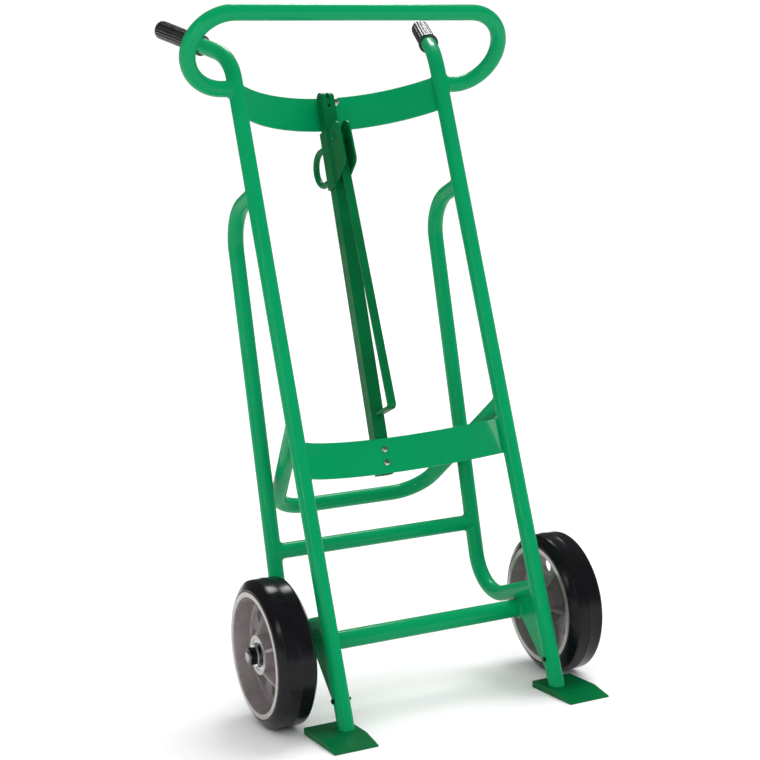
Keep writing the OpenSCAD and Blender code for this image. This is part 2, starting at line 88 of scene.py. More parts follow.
FOOT_BAR_AT = 0.526
FOOT_BAR_SLOPE = radians(20.6)
FOOT_BAR_SPLAY = radians(9.65)
FOOT_BAR_REACH = 0.313
FOOT_BAR_BEND = 0.070
WHEEL_R = 0.127
WHEEL_X = 0.2776
WHEEL_HALF_W = 0.0353
TREAD_HALF_W = 0.021
RIM_R = 0.107
HUB_R = 0.034
HUB_HALF = WHEEL_HALF_W - 0.007
BEARING_R = 0.0255
BEARING_W = 0.015
RACE_R = 0.0135
RACE_HALF = HUB_HALF + 0.0027
WASHER_ROOM = 0.003
WASHER_T = 0.0026
WASHER_R = 0.019
AXLE_NUT_T = 0.0107
AXLE_NUT_W = 0.0285
AXLE_END = WHEEL_X + RACE_HALF + WASHER_ROOM + AXLE_NUT_T + 0.0027
RIBS = 5
SECTOR = 2 * pi / RIBS
HOLE_R = 0.013
HOLE_AT = RIM_R - 0.040
WEB = 0.0035
RIM_TURN = {"left": radians(51), "right": radians(8)}
AXLE_R = 0.0095
AXLE_TUBE_R = 0.016
AXLE_TUBE_END = RAIL_X + 0.005
GUSSET_T = 0.006
TOE_T = 0.012
TOE_W = 0.0777
TOE_BACK = 0.0515
TOE_TIP = -0.0755
TOE_BEVEL = 0.044
TOE_LIP = 0.0025
TOE_INSIDE = 0.0214
TOE_BOLT_AT = 0.060
BAR_W = 0.0254
BAR_WALL = 0.003
BAR_TILT = radians(3.2)
BAR_BASE = Vector((0, 0.112, 0.487))
BAR_FOOT = -0.055
BAR_TOP = 0.663
BAR_PIN = Vector((0, -0.006, BAR_TOP - 0.019))
FORK_SLOT_W = 0.005
FORK_SLOT_LEN = 0.030
BAR_BOLTS_AT = (0.4765, 0.452)
SLIDER_AT = 0.4805
SLIDER_LEN = 0.108
SLEEVE_W = 0.033
SLEEVE_HOLE_W = 0.0264
CHEEK_T = 0.004
CHEEK_OUT = 0.0124
PIVOT = Vector((0, -0.0344, 0.0873))
ARM_LEAN = radians(1.7)
ARM_W = 0.016
ARM_T = 0.006
ARM_LEN = 0.512
FOOT_LEN = 0.064
RING_R = 0.0315
RING_ROD_R = 0.006
RING_UP = 0.0535
RING_PLATE_T = 0.004
PIN_R = 0.004
BOLT_R = 0.003

# ---- Frames of reference, as in the CAD source ----

def moved(x=0.0, y=0.0, z=0.0):
    return Matrix.Translation((x, y, z))


def rotated(angle, axis):
    return Matrix.Rotation(angle, 4, axis)


def mirrored(side):
    return Matrix.Scale(side, 4, X_AXIS)


FLOOR = moved(y=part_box("toe_left")[0].y - TOE_TIP)
RAILS = FLOOR @ rotated(-LEAN, "X")
BAR = RAILS @ moved(*BAR_BASE) @ rotated(BAR_TILT, "X")
SLIDER = BAR @ moved(z=SLIDER_AT)
ARM = SLIDER @ moved(*PIVOT) @ rotated(-BAR_TILT - ARM_LEAN, "X")
LOOP = RAILS @ moved(z=LOOP_AT) @ rotated(LOOP_TILT, "X")
FOOT_BAR = RAILS @ moved(z=FOOT_BAR_AT) @ rotated(-pi / 2 - FOOT_BAR_SLOPE, "X")
AXLE_AT = Vector(next(j for j in frame["joints"] if j["name"] == "wheel_left_spin")["pos_m"])
AXLE = moved(y=AXLE_AT.y, z=AXLE_AT.z)
AXLE_IN_RAILS = RAILS.inverted() @ Vector((0, AXLE_AT.y, AXLE_AT.z))


# ---- Materials ----

def add_node(tree, kind, output, inputs, **settings):
    """Adds a shader node and gives back one output; an input takes a value or another node's output"""
    node = tree.nodes.new("ShaderNode" + kind)
    for name, value in settings.items():
        setattr(node, name, value)
    for name, value in inputs.items():
        if isinstance(value, bpy.types.NodeSocket):
            tree.links.new(value, node.inputs[name])
        else:
            node.inputs[name].default_value = value
    return node.outputs[output]


class Shader:
    """A Principled material whose procedural layers use coordinates in metres"""

    def __init__(self, name, colour, roughness, metallic=0.0, specular=0.5, coat=0.0):
        self.material = bpy.data.materials.new(name)
        self.material.use_nodes = True
        self.tree = self.material.node_tree
        self.bsdf = self.tree.nodes["Principled BSDF"]
        self.colour = colour
        self.normal = None
        self.coords = add_node(self.tree, "TexCoord", "Object", {})
        values = {
            "Base Color": (*colour, 1), "Roughness": roughness, "Metallic": metallic,
            "Specular IOR Level": specular, "Coat Weight": coat, "Coat Roughness": 0.05,
        }
        for socket, value in values.items():
            self.bsdf.inputs[socket].default_value = value

    def noise(self, scale, detail=3.0):
        inputs = {"Vector": self.coords, "Scale": scale, "Detail": detail}
        return add_node(self.tree, "TexNoise", "Fac", inputs)

    def rings(self, centre, scale):
        """Fine turned rings about the X axis through a point"""
        place = {"Vector": self.coords, "Location": [-c for c in centre]}
        centred = add_node(self.tree, "Mapping", "Vector", place)
        inputs = {"Vector": centred, "Scale": scale, "Distortion": 0.6}
        return add_node(self.tree, "TexWave", "Fac", inputs, wave_type="RINGS", rings_direction="X")

    def ramp(self, factor, low, high):
        """Spreads the middle of a factor's range over low to high"""
        inputs = {"Value": factor, "From Min": 0.35, "From Max": 0.65, "To Min": low, "To Max": high}
        return add_node(self.tree, "MapRange", "Result", inputs)

    def colours(self, factor, low, high):
        """Mixes two tints of the base colour by a factor"""
        inputs = {"A": (*[c * low for c in self.colour], 1), "B": (*[c * high for c in self.colour], 1),
                  "Factor": self.ramp(factor, 0, 1)}
        mixed = add_node(self.tree, "Mix", "Result", inputs, data_type="RGBA")
        self.tree.links.new(mixed, self.bsdf.inputs["Base Color"])

    def gloss(self, factor, low, high):
        self.tree.links.new(self.ramp(factor, low, high), self.bsdf.inputs["Roughness"])

    def bump(self, factor, distance, strength=1.0):
        """Adds one bump layer; distance is its height in metres"""
        inputs = {"Strength": strength, "Distance": distance, "Height": factor}
        if self.normal is not None:
            inputs["Normal"] = self.normal
        self.normal = add_node(self.tree, "Bump", "Normal", inputs)
        self.tree.links.new(self.normal, self.bsdf.inputs["Normal"])


def enamel(name, colour, roughness, coat, mottle):
    """Sprayed enamel: faint orange peel, slow colour drift and uneven gloss"""
    paint = Shader(name, colour, roughness, specular=0.04, coat=coat)
    paint.colours(paint.noise(9, 4), 1 - mottle, 1 + mottle)
    paint.gloss(paint.noise(45, 5), roughness * 0.8, roughness * 1.25)
    paint.bump(paint.noise(650, 2), 0.00004)
    paint.bump(paint.noise(120, 2), 0.0001, 0.5)
    return paint.material


def rubber(name, colour, roughness, grain, specular):
    """Moulded rubber or vinyl: fine grain, slow colour drift and uneven gloss"""
    skin = Shader(name, colour, roughness, specular=specular)
    skin.colours(skin.noise(30, 5), 0.8, 1.3)
    skin.gloss(skin.noise(60, 4), roughness * 0.8, roughness * 1.3)
    skin.bump(skin.noise(grain, 3), 0.00004)
    return skin.material


def cast_metal():
    """Sand-cast aluminium: coarse grain over soft unevenness"""
    metal = Shader("cast_aluminium_look", (0.34, 0.305, 0.31), 0.42, metallic=0.6, specular=0.4)
    metal.colours(metal.noise(40, 6), 0.86, 1.12)
    metal.gloss(metal.noise(200, 4), 0.42, 0.62)
    metal.bump(metal.noise(1400, 3), 0.00005)
    metal.bump(metal.noise(260, 3), 0.00012, 0.6)
    return metal.material


def turned_metal(side, word):
    """Machined faces of one wheel, with fine lathe rings about its axle"""
    metal = Shader(f"turned_aluminium_{word}", (0.41, 0.385, 0.36), 0.3, metallic=0.6)
    metal.colours(metal.noise(90, 4), 0.93, 1.06)
    metal.bump(metal.rings((side * WHEEL_X, AXLE_AT.y, AXLE_AT.z), 260), 0.00002)
    return metal.material


def plated(name, colour, roughness):
    """Plated or ground steel: bright, with faint stains"""
    metal = Shader(name, colour, roughness, metallic=1.0)
    metal.colours(metal.noise(140, 4), 0.82, 1.1)
    metal.gloss(metal.noise(300, 4), roughness * 0.75, roughness * 1.4)
    metal.bump(metal.noise(1800, 2), 0.00002)
    return metal.material


GREEN = enamel("green_enamel", (0.0, 0.282, 0.1), 0.4, 0.2, 0.03)
DARK_GREEN = enamel("dark_green_enamel", (0.0, 0.12, 0.033), 0.45, 0.15, 0.12)
TYRE = rubber("moulded_tyre", (0.0060, 0.0055, 0.0070), 0.2, 500, 0.17)
GRIP = rubber("grip_vinyl", (0.012, 0.011, 0.012), 0.3, 900, 0.6)
CAST = cast_metal()
ZINC = plated("zinc_plate", (0.62, 0.62, 0.6), 0.28)
AXLE_STEEL = plated("turned_bar", (0.40, 0.38, 0.38), 0.4)
RACE_STEEL = plated("ground_steel", (0.5, 0.51, 0.54), 0.12)
BLACK_OXIDE = plated("black_oxide", (0.045, 0.047, 0.055), 0.3)
TURNED = {word: turned_metal(side, word) for side, word in SIDES}

# ---- Pieces ----

def add_object(name, data):
    obj = bpy.data.objects.new(name, data)
    bpy.context.scene.collection.objects.link(obj)
    return obj


BODY_OF = {node: body for body, nodes in frame["record"]["behaviour"]["bodies"].items() for node in nodes}


def piece(name, shape, place, materials, *nodes, body=None, slot=None, bevel=0.0, crease=32):
    """Turns a closed shape into an object that stands for CAD nodes, or rides with a body as trim"""
    shape.transform(place)
    bmesh.ops.recalc_face_normals(shape, faces=shape.faces[:])
    mesh = bpy.data.meshes.new(name)
    shape.to_mesh(mesh)
    shape.free()
    mesh.polygons.foreach_set("use_smooth", [True] * len(mesh.polygons))
    mesh.set_sharp_from_angle(angle=radians(crease))
    for material in materials if isinstance(materials, (list, tuple)) else [materials]:
        mesh.materials.append(material)
    obj = add_object(name, mesh)
    if bevel:
        edge = obj.modifiers.new("edges", "BEVEL")
        edge.width = bevel
        edge.segments = 3
        edge.limit_method = "ANGLE"
        edge.angle_limit = radians(crease)
        edge.harden_normals = True
    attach(obj, body or BODY_OF[nodes[0]])
    if nodes:
        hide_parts(*nodes)
    return obj


def joined(*parts):
    """One shape from several: each part is a shape, or a (shape, place) pair"""
    whole = bmesh.new()
    scratch = bpy.data.meshes.new("scratch")
    for part in parts:
        shape, place = part if isinstance(part, tuple) else (part, Matrix())
        shape.transform(place)
        bmesh.ops.recalc_face_normals(shape, faces=shape.faces[:])
        shape.to_mesh(scratch)
        shape.free()
        whole.from_mesh(scratch)
    bpy.data.meshes.remove(scratch)
    return whole


def carved(base, tool, operation):
    """The exact boolean of two closed shapes"""
    objs = []
    for shape in (base, tool):
        bmesh.ops.recalc_face_normals(shape, faces=shape.faces[:])
        mesh = bpy.data.meshes.new("scratch")
        shape.to_mesh(mesh)
        shape.free()
        objs.append(add_object("scratch", mesh))
    cut = objs[0].modifiers.new("cut", "BOOLEAN")
    cut.object = objs[1]
    cut.operation = operation
    cut.solver = "EXACT"
    result = bmesh.new()
    result.from_object(objs[0], bpy.context.evaluated_depsgraph_get())
    for obj in objs:
        mesh = obj.data
        bpy.data.objects.remove(obj)
        bpy.data.meshes.remove(mesh)
    return result


# ---- Shapes ----

def rounded(corners, radii, step=radians(5), closed=False):
    """Rounds a polyline's corners with arcs; radii is one radius or one for each corner"""
    count = len(corners)
    corners = [Vector(c) for c in corners]
    if isinstance(radii, (int, float)):
        radii = [radii] * count
    points = []
    for i, corner in enumerate(corners):
        if radii[i] <= 0 or not (closed or 0 < i < count - 1):
            points.append(corner)
            continue
        back = (corners[i - 1] - corner).normalized()
        ahead = (corners[(i + 1) % count] - corner).normalized()
        turn = pi - back.angle(ahead)
        if turn < 1e-4:
            points.append(corner)
            continue
        inward = (back + ahead).normalized()
        centre = corner + inward * (radii[i] / cos(turn / 2))
        setback = radii[i] * tan(turn / 2)
        start = corner + back * setback - centre
        end = corner + ahead * setback - centre
        steps = max(2, ceil(turn / step))
        for k in range(steps + 1):
            along = turn * k / steps
            spoke = start * sin(turn - along) + end * sin(along)
            points.append(centre + spoke / sin(turn))
    return points


def circle(radius, sides=40):
    angles = (2 * pi * k / sides for k in range(sides))
    return [(radius * cos(a), radius * sin(a)) for a in angles]


def bridge(shape, rings, closed=False):
    """Joins rings of vertices into a skin, and caps its ends unless it closes on itself"""
    pairs = list(zip(rings, rings[1:]))
    if closed:
        pairs.append((rings[-1], rings[0]))
    for low, high in pairs:
        count = len(low)
        for k in range(count):
            shape.faces.new((low[k], low[(k + 1) % count], high[(k + 1) % count], high[k]))
    if not closed:
        shape.faces.new(list(reversed(rings[0])))
        shape.faces.new(rings[-1])
    return shape


def sweep(path, section, normal=None):
    """Carries a section, a list of 2D points, along a path; normal is the way its first axis starts out"""
    shape = bmesh.new()
    rings = []
    for i, point in enumerate(path):
        tangent = (path[min(i + 1, len(path) - 1)] - path[max(i - 1, 0)]).normalized()
        if i == 0:
            side = normal or tangent.orthogonal()
        else:
            side = last.rotation_difference(tangent) @ side
        side = (side - tangent * side.dot(tangent)).normalized()
        last = tangent
        up = tangent.cross(side)
        rings.append([shape.verts.new(point + side * a + up * b) for a, b in section])
    return bridge(shape, rings)


def tube(corners, bend=BEND_R, radius=TUBE_R, sides=40):
    return sweep(rounded(corners, bend), circle(radius, sides))


def lathe(profile, sides=96, radius_at=None):
    """Turns a list of (radius, x) about the X axis; the profile closes on itself or on the axis"""
    shape = bmesh.new()
    rings = []
    for r, x in profile:
        if r < 1e-6:
            rings.append([shape.verts.new((x, 0, 0))])
            continue
        ring = []
        for k in range(sides):
            a = 2 * pi * k / sides
            wide = r if radius_at is None else radius_at(r, x, a)
            ring.append(shape.verts.new((x, wide * cos(a), wide * sin(a))))
        rings.append(ring)
    pairs = list(zip(rings, rings[1:]))
    if len(rings[0]) > 1:
        pairs.append((rings[-1], rings[0]))
    for low, high in pairs:
        for k in range(sides):
            n = (k + 1) % sides
            corners = [low[k % len(low)], low[n % len(low)], high[n % len(high)], high[k % len(high)]]
            shape.faces.new(list(dict.fromkeys(corners)))
    return shape


def prism(outline, low, high):
    """Extrudes an outline of (y, z) points from x = low to x = high"""
    shape = bmesh.new()
    return bridge(shape, [[shape.verts.new((x, p[0], p[1])) for p in outline] for x in (low, high)])


def block(size, centre):
    low, high = (Vector(centre) + Vector(size) * s / 2 for s in (-1, 1))
    return prism([(low.y, low.z), (high.y, low.z), (high.y, high.z), (low.y, high.z)], low.x, high.x)


def flat(outline, radii=0.0, closed=True):
    """Rounds a 2D outline and gives back 2D points"""
    return [(p.x, p.y) for p in rounded([(a, b, 0) for a, b in outline], radii, closed=closed)]


# ---- Fasteners, all along +X from their seat at x = 0 ----

def hex_form(across, height, bore=0.0, sides=72):
    """A hexagon with its outer corners chamfered as on a real nut or bolt head"""
    shape = bmesh.new()
    flat_r = across / 2
    seat_r, top_r = flat_r * 1.02, flat_r * 0.95
    bore_flare, bore_chamfer = bore * 1.08, bore * 0.1

    def hex_r(a):
        return flat_r / cos((a + pi / 6) % (pi / 3) - pi / 6)

    def ring(point_at):
        """point_at gives the radius and x at an angle"""
        verts = []
        for k in range(sides):
            a = 2 * pi * k / sides
            r, x = point_at(a)
            verts.append(shape.verts.new((x, r * cos(a), r * sin(a))))
        return verts

    rings = [
        ring(lambda a: (min(hex_r(a), seat_r), 0.0)),
        ring(lambda a: (hex_r(a), (hex_r(a) - seat_r) * 0.5 if hex_r(a) > seat_r else 0.0002)),
        ring(lambda a: (hex_r(a), height - (hex_r(a) - top_r) * tan(pi / 6))),
        ring(lambda a: (top_r, height)),
    ]
    if bore:
        rings += [ring(lambda a: (bore_flare, height)), ring(lambda a: (bore, height - bore_chamfer)),
                  ring(lambda a: (bore, 0.0))]
    return bridge(shape, rings, closed=bore > 0)


def washer(bore, radius, thick):
    soft = thick * 0.2
    return lathe([(bore, 0), (radius - soft, 0), (radius, soft),
                  (radius, thick - soft), (radius - soft, thick), (bore, thick)])


def rod(radius, start, end, sides=32):
    return lathe([(0, start), (radius, start), (radius, end), (0, end)], sides)


def thread(radius, start, end, pitch, sides=48):
    """A rod with a true helical thread and a chamfered tip at its end"""
    depth = pitch * 0.45
    steps = max(4, round((end - start) / pitch * 8))
    flank = [(radius, start + (end - start) * k / steps) for k in range(steps + 1)]
    profile = [(0, start)] + flank + [(0, end)]

    def groove(r, x, a):
        phase = (x / pitch + a / (2 * pi)) % 1
        cut = depth * abs(2 * phase - 1)
        tip = max(0.0, x - (end - 0.8 * pitch))
        return min(r - cut, r - tip)

    return lathe(profile, sides, groove)


def dome(radius, height):
    """A round rivet or carriage bolt head, with a short straight edge"""
    steps, edge = 10, 0.25
    angles = (pi / 2 * k / steps for k in range(steps + 1))
    crown = [(radius * cos(a), height * (edge + (1 - edge) * sin(a))) for a in angles]
    return lathe([(0, 0), (radius, 0)] + crown)


# ---- Welds ----

def fillet(samples, size, snaps=(None, None), closed=True):
    """A painted weld in the corner of two surfaces, with the faint ripples of its passes.

    Each sample is a point of the corner line and the two surfaces' normals there. A snap is a function that
    puts a point on its surface.
    """
    shape = bmesh.new()
    rings = []
    for i, (point, first, second) in enumerate(samples):
        lean = max(-1.0, min(1.0, first.dot(second)))
        reach = size * max(0.04, sqrt(1 - lean * lean))
        if 1 - abs(lean) > 1e-5:
            outs = [(second - first * lean).normalized(), (first - second * lean).normalized()]
        ends = []
        for out, normal, snap in zip(outs, (first, second), snaps):
            end = point + out * reach
            ends.append((snap(end) if snap else end) - normal * 0.00012)
        ripple = 0.1 + 0.05 * sin(i * pi / 2)
        middle = point + (outs[0] + outs[1]) * reach * ripple
        ring = [point - (first + second) * reach * 0.5]
        for k in range(6):
            t = k / 5
            ring.append(ends[0].lerp(middle, t).lerp(middle.lerp(ends[1], t), t))
        rings.append([shape.verts.new(v) for v in ring])
    return bridge(shape, rings, closed)


def onto_tube(point, along):
    """A function that moves a point onto a frame tube"""
    point, along = Vector(point), Vector(along).normalized()

    def snap(q):
        off = q - point
        axis = along * off.dot(along)
        return point + axis + (off - axis).normalized() * TUBE_R

    return snap


def tube_joint(point, direction, onto, along, size=0.006, steps=112):
    """The weld where one frame tube butts onto another"""
    direction, along = Vector(direction).normalized(), Vector(along).normalized()
    e1 = direction.orthogonal().normalized()
    e2 = direction.cross(e1)
    across = direction - along * direction.dot(along)
    samples = []
    for k in range(steps):
        a = 2 * pi * k / steps
        radial = e1 * cos(a) + e2 * sin(a)
        rim_point = Vector(point) + radial * TUBE_R * 0.99
        off = rim_point - Vector(onto)
        off -= along * off.dot(along)
        b = off.dot(across)
        disc = b * b - across.length_squared * (off.length_squared - TUBE_R ** 2)
        shift = (-b + sqrt(max(0.0, disc))) / across.length_squared
        samples.append((rim_point + direction * shift, (off + across * shift).normalized(), radial))
    snaps = (onto_tube(onto, along), onto_tube(point, direction))
    return fillet(samples, size, snaps)


def straight_samples(start, end, first, second, spacing=0.0009):
    count = max(4, round((end - start).length / spacing))
    return [(start.lerp(end, k / count), first, second) for k in range(count + 1)]


def weld_piece(name, beads, place, material=GREEN, body="frame", slot="green_paint"):
    piece(name, joined(*beads), place, material, body=body, slot=slot)


# ---- Side rails and grips ----

GRIP_DIR = Vector((sin(GRIP_ANGLE) * sin(GRIP_SPLAY), sin(GRIP_ANGLE) * cos(GRIP_SPLAY),
                   cos(GRIP_ANGLE)))
RAIL_CORNER = Vector((RAIL_X, 0, RAIL_STRAIGHT + BEND_R * tan(GRIP_ANGLE / 2)))
GRIP_START = RAIL_CORNER + GRIP_DIR * BEND_R * tan(GRIP_ANGLE / 2)


def rail(side, word):
    foot = Vector((RAIL_X, 0, TOE_T / cos(LEAN) + TUBE_R * tan(LEAN)))
    shape = tube([foot, RAIL_CORNER, GRIP_START + GRIP_DIR * GRIP_TUBE_LEN])
    shape.verts.ensure_lookup_table()
    for vert in shape.verts:
        if abs(vert.co.z - foot.z) < 1e-4:
            vert.co.z = (TOE_T + vert.co.y * sin(LEAN)) / cos(LEAN)
    piece(f"{word}_rail", shape, RAILS @ mirrored(side), GREEN, f"rail_{word}", crease=60)


def grip(side, word):
    """A vinyl sleeve with lengthwise ribs, a plain collar and a rounded end"""
    collar_r, collar_end, soft = GRIP_R + 0.002, 0.0075, 0.0008
    end_round, end_wall = 0.0035, 0.004
    flutes, flute_depth = 18, 0.0011
    flute_start, flute_end = 0.009, GRIP_LEN - end_round * 0.4
    bore, bore_end = TUBE_R + 0.0001, GRIP_LEN - end_wall
    steps, straight = 16, GRIP_LEN - end_round - collar_end
    profile = [(0, bore_end), (bore, bore_end), (bore, 0), (collar_r - soft, 0), (collar_r, soft),
               (collar_r, 0.005 - soft), (collar_r - soft, 0.005), (GRIP_R + 0.0002, 0.0062),
               (GRIP_R, collar_end)]
    profile += [(GRIP_R, collar_end + straight * k / steps) for k in range(1, steps)]
    end = rounded([(GRIP_R, collar_end, 0), (GRIP_R, GRIP_LEN, 0), (0, GRIP_LEN, 0)], [0, end_round, 0])
    profile += [(p.x, p.y) for p in end[1:]]

    def fluted(r, x, a):
        if x < flute_start or x > flute_end or r <= bore:
            return r
        ease = min(1.0, (x - flute_start) / 0.004, (flute_end - x) / 0.006)
        return r - flute_depth * ease * (0.5 - 0.5 * cos(flutes * a)) ** 2

    turn = X_AXIS.rotation_difference(GRIP_DIR).to_matrix().to_4x4()
    start = GRIP_START + GRIP_DIR * (GRIP_TUBE_LEN - GRIP_LEN + end_wall)
    place = RAILS @ mirrored(side) @ moved(*start) @ turn
    piece(f"{word}_grip", lathe(profile, 208, fluted), place, GRIP, f"grip_{word}", crease=40)


# ---- Loop handle ----

def loop_handle():
    corner, high = LOOP_HALF_W, 2 * LOOP_R
    points = [(RAIL_X, 0, 0), (corner, 0, 0), (corner, 0, high),
              (-corner, 0, high), (-corner, 0, 0), (-RAIL_X, 0, 0)]
    piece("loop_tube", tube(points, LOOP_R - 1e-6), LOOP, GREEN, "loop_handle", crease=60)


# ---- Drum bands ----

def band_line(bow, fold_x, steps=40):
    """Centreline of a band: an arc, and flat tabs beyond the folds"""
    radius = (RAIL_X ** 2 + bow ** 2) / (2 * bow)
    half = asin(fold_x / radius)
    arc = [Vector((radius * sin(a), bow - radius + radius * cos(a), 0)) for a in
           (-half + 2 * half * k / steps for k in range(steps + 1))]
    slope = arc[-1].y / (RAIL_X - arc[-1].x)
    tab = Vector((BAND_REACH, (RAIL_X - BAND_REACH) * slope, 0))
    return [Vector((-tab.x, tab.y, 0))] + arc + [tab]


def band(name, node, at, bow, fold_x):
    section = flat([(-BAND_T / 2, -BAND_H / 2), (BAND_T / 2, -BAND_H / 2), (BAND_T / 2, BAND_H / 2),
                    (-BAND_T / 2, BAND_H / 2)], BAND_T * 0.3)
    shape = sweep(band_line(bow, fold_x), section, normal=Vector((0.5, 1, 0)))
    piece(name, shape, RAILS @ moved(z=at), GREEN, node, crease=50)


def band_welds(side, word):
    """Welds down both faces of each band where it meets the rail"""
    beads = []
    upper, lower = (UPPER_BAND_AT, UPPER_BOW, UPPER_FOLD_X), (LOWER_BAND_AT, LOWER_BOW, BAND_FOLD_X)
    for at, bow, fold in (upper, lower):
        line = band_line(bow, fold)
        inward = (line[-2] - line[-1]).normalized()
        for face in (-1, 1):
            across = Vector((-inward.y, inward.x, 0)) * face
            touch = across * BAND_T / 2 + inward * sqrt(TUBE_R ** 2 - BAND_T ** 2 / 4)
            low, high = (Vector((RAIL_X, 0, at + s * BAND_H / 2)) + touch for s in (-1, 1))
            samples = straight_samples(low, high, touch.normalized(), across)
            snaps = (onto_tube((RAIL_X, 0, 0), Z_AXIS), None)
            beads.append(fillet(samples, 0.0042, snaps, closed=False))
    weld_piece(f"band_welds_{word}", beads, RAILS @ mirrored(side))


# ---- Rear braces, cross tube and foot bar ----

def brace_depth(at):
    """How far behind the rail's line a brace's line is"""
    return BRACE_DEPTH - (at - BRACE_BOTTOM_AT) * tan(BRACE_CONVERGE)


def brace(side, word):
    corners = [(RAIL_X, 0, BRACE_BOTTOM_AT), (RAIL_X, BRACE_DEPTH, BRACE_BOTTOM_AT),
               (RAIL_X, brace_depth(BRACE_TOP_AT), BRACE_TOP_AT), (RAIL_X, 0, BRACE_TOP_AT)]
    piece(f"{word}_brace", tube(corners), RAILS @ mirrored(side), GREEN, f"brace_{word}", crease=60)


def cross_tube():
    end_x = RAIL_X - 0.004
    shape = tube([Vector((s * end_x, brace_depth(CROSS_TUBE_AT), CROSS_TUBE_AT)) for s in (-1, 1)])
    piece("lower_cross_tube", shape, RAILS, GREEN, "cross_tube", crease=60)


def foot_bar():
    far_x = RAIL_X - FOOT_BAR_REACH * tan(FOOT_BAR_SPLAY)
    corners = [(RAIL_X, 0, 0), (far_x, 0, FOOT_BAR_REACH), (-far_x, 0, FOOT_BAR_REACH), (-RAIL_X, 0, 0)]
    piece("foot_bar_tube", tube(corners, FOOT_BAR_BEND), FOOT_BAR, GREEN, "foot_bar", crease=60)


def tube_welds(side, word):
    """Welds around every tube that butts onto another"""
    to_rails = RAILS.inverted()
    loop_point = to_rails @ LOOP @ Vector((RAIL_X, 0, 0))
    leg = Vector((-sin(FOOT_BAR_SPLAY), 0, cos(FOOT_BAR_SPLAY)))
    leg_dir = (to_rails @ FOOT_BAR).to_3x3() @ leg
    cross_point = Vector((RAIL_X, brace_depth(CROSS_TUBE_AT), CROSS_TUBE_AT))
    brace_dir = Vector((0, -sin(BRACE_CONVERGE), cos(BRACE_CONVERGE)))
    rail_foot = Vector((RAIL_X, 0, 0))
    onto_rail = ((loop_point, X_AXIS), (rail_foot + Z_AXIS * BRACE_TOP_AT, Y_AXIS),
                 (rail_foot + Z_AXIS * BRACE_BOTTOM_AT, Y_AXIS), (rail_foot + Z_AXIS * FOOT_BAR_AT, leg_dir))
    welds = [tube_joint(point, direction, rail_foot, Z_AXIS) for point, direction in onto_rail]
    welds.append(tube_joint(cross_point, -X_AXIS, cross_point, brace_dir))
    weld_piece(f"tube_welds_{word}", welds, RAILS @ mirrored(side))


# ---- Axle tube, gussets and toe plates ----

def axle_tube():
    soft, end = 0.001, AXLE_TUBE_END
    profile = [(AXLE_R, -end), (AXLE_TUBE_R - soft, -end), (AXLE_TUBE_R, -end + soft),
               (AXLE_TUBE_R, end - soft), (AXLE_TUBE_R - soft, end), (AXLE_R, end)]
    piece("axle_carrier_tube", lathe(profile, 56), AXLE, GREEN, "axle_tube", crease=40)


def gusset(side, word):
    n, u = AXLE_IN_RAILS.y, AXLE_IN_RAILS.z
    low, back = 0.023, n + 0.008
    corners = [(0, low), (TUBE_R, low), (n - 0.009, u - AXLE_TUBE_R), (back, u), (back, BRACE_BOTTOM_AT),
               (0, BRACE_BOTTOM_AT)]
    outline = flat(corners, [0, 0.002, 0.01, 0.006, 0.001, 0])
    shape = prism(outline, RAIL_X - GUSSET_T / 2, RAIL_X + GUSSET_T / 2)
    piece(f"{word}_gusset", shape, RAILS @ mirrored(side), GREEN, f"gusset_{word}", bevel=0.0008)


def gusset_welds(side, word):
    """Welds down both faces of a gusset: along the rail, under the brace's leg and round the axle tube"""
    n, u = AXLE_IN_RAILS.y, AXLE_IN_RAILS.z
    size, outer_size = 0.004, 0.0018
    edge = sqrt(TUBE_R ** 2 - (GUSSET_T / 2) ** 2)
    top = BRACE_BOTTOM_AT - edge
    rail_snap = onto_tube((RAIL_X, 0, 0), Z_AXIS)
    leg_snap = onto_tube((RAIL_X, 0, BRACE_BOTTOM_AT), Y_AXIS)
    beads = []
    for face in (-1, 1):
        x = RAIL_X + face * GUSSET_T / 2
        side_normal = X_AXIS * face
        from_rail = Vector((face * GUSSET_T / 2, edge, 0)).normalized()
        from_leg = Vector((face * GUSSET_T / 2, 0, -edge)).normalized()
        low, high, far = Vector((x, edge, 0.032)), Vector((x, edge, top)), Vector((x, n - 0.012, top))
        up_rail = straight_samples(low, high, from_rail, side_normal)
        under_leg = straight_samples(high, far, from_leg, side_normal)
        round_axle = []
        for angle in (radians(d) for d in range(120, 291, 3)):
            radial = Vector((0, cos(angle), sin(angle)))
            round_axle.append((Vector((x, n, u)) + radial * AXLE_TUBE_R, radial, side_normal))
        beads += [fillet(up_rail, size, (rail_snap, None), closed=False),
                  fillet(under_leg, size, (leg_snap, None), closed=False),
                  fillet(round_axle, size if face < 0 else outer_size, closed=False)]
    weld_piece(f"gusset_welds_{word}", beads, RAILS @ mirrored(side))


def toe(side, word):
    outline = flat([(TOE_BACK, 0), (TOE_BACK, TOE_T), (TOE_TIP + TOE_BEVEL, TOE_T),
                    (TOE_TIP, TOE_LIP), (TOE_TIP, 0)], [0.0006, 0.0018, 0.008, 0.001, 0.0006])
    low = RAIL_X - TOE_INSIDE
    shape = prism(outline, low, low + TOE_W)
    piece(f"{word}_toe_plate", shape, FLOOR @ mirrored(side), DARK_GREEN, f"toe_{word}", bevel=0.0014)


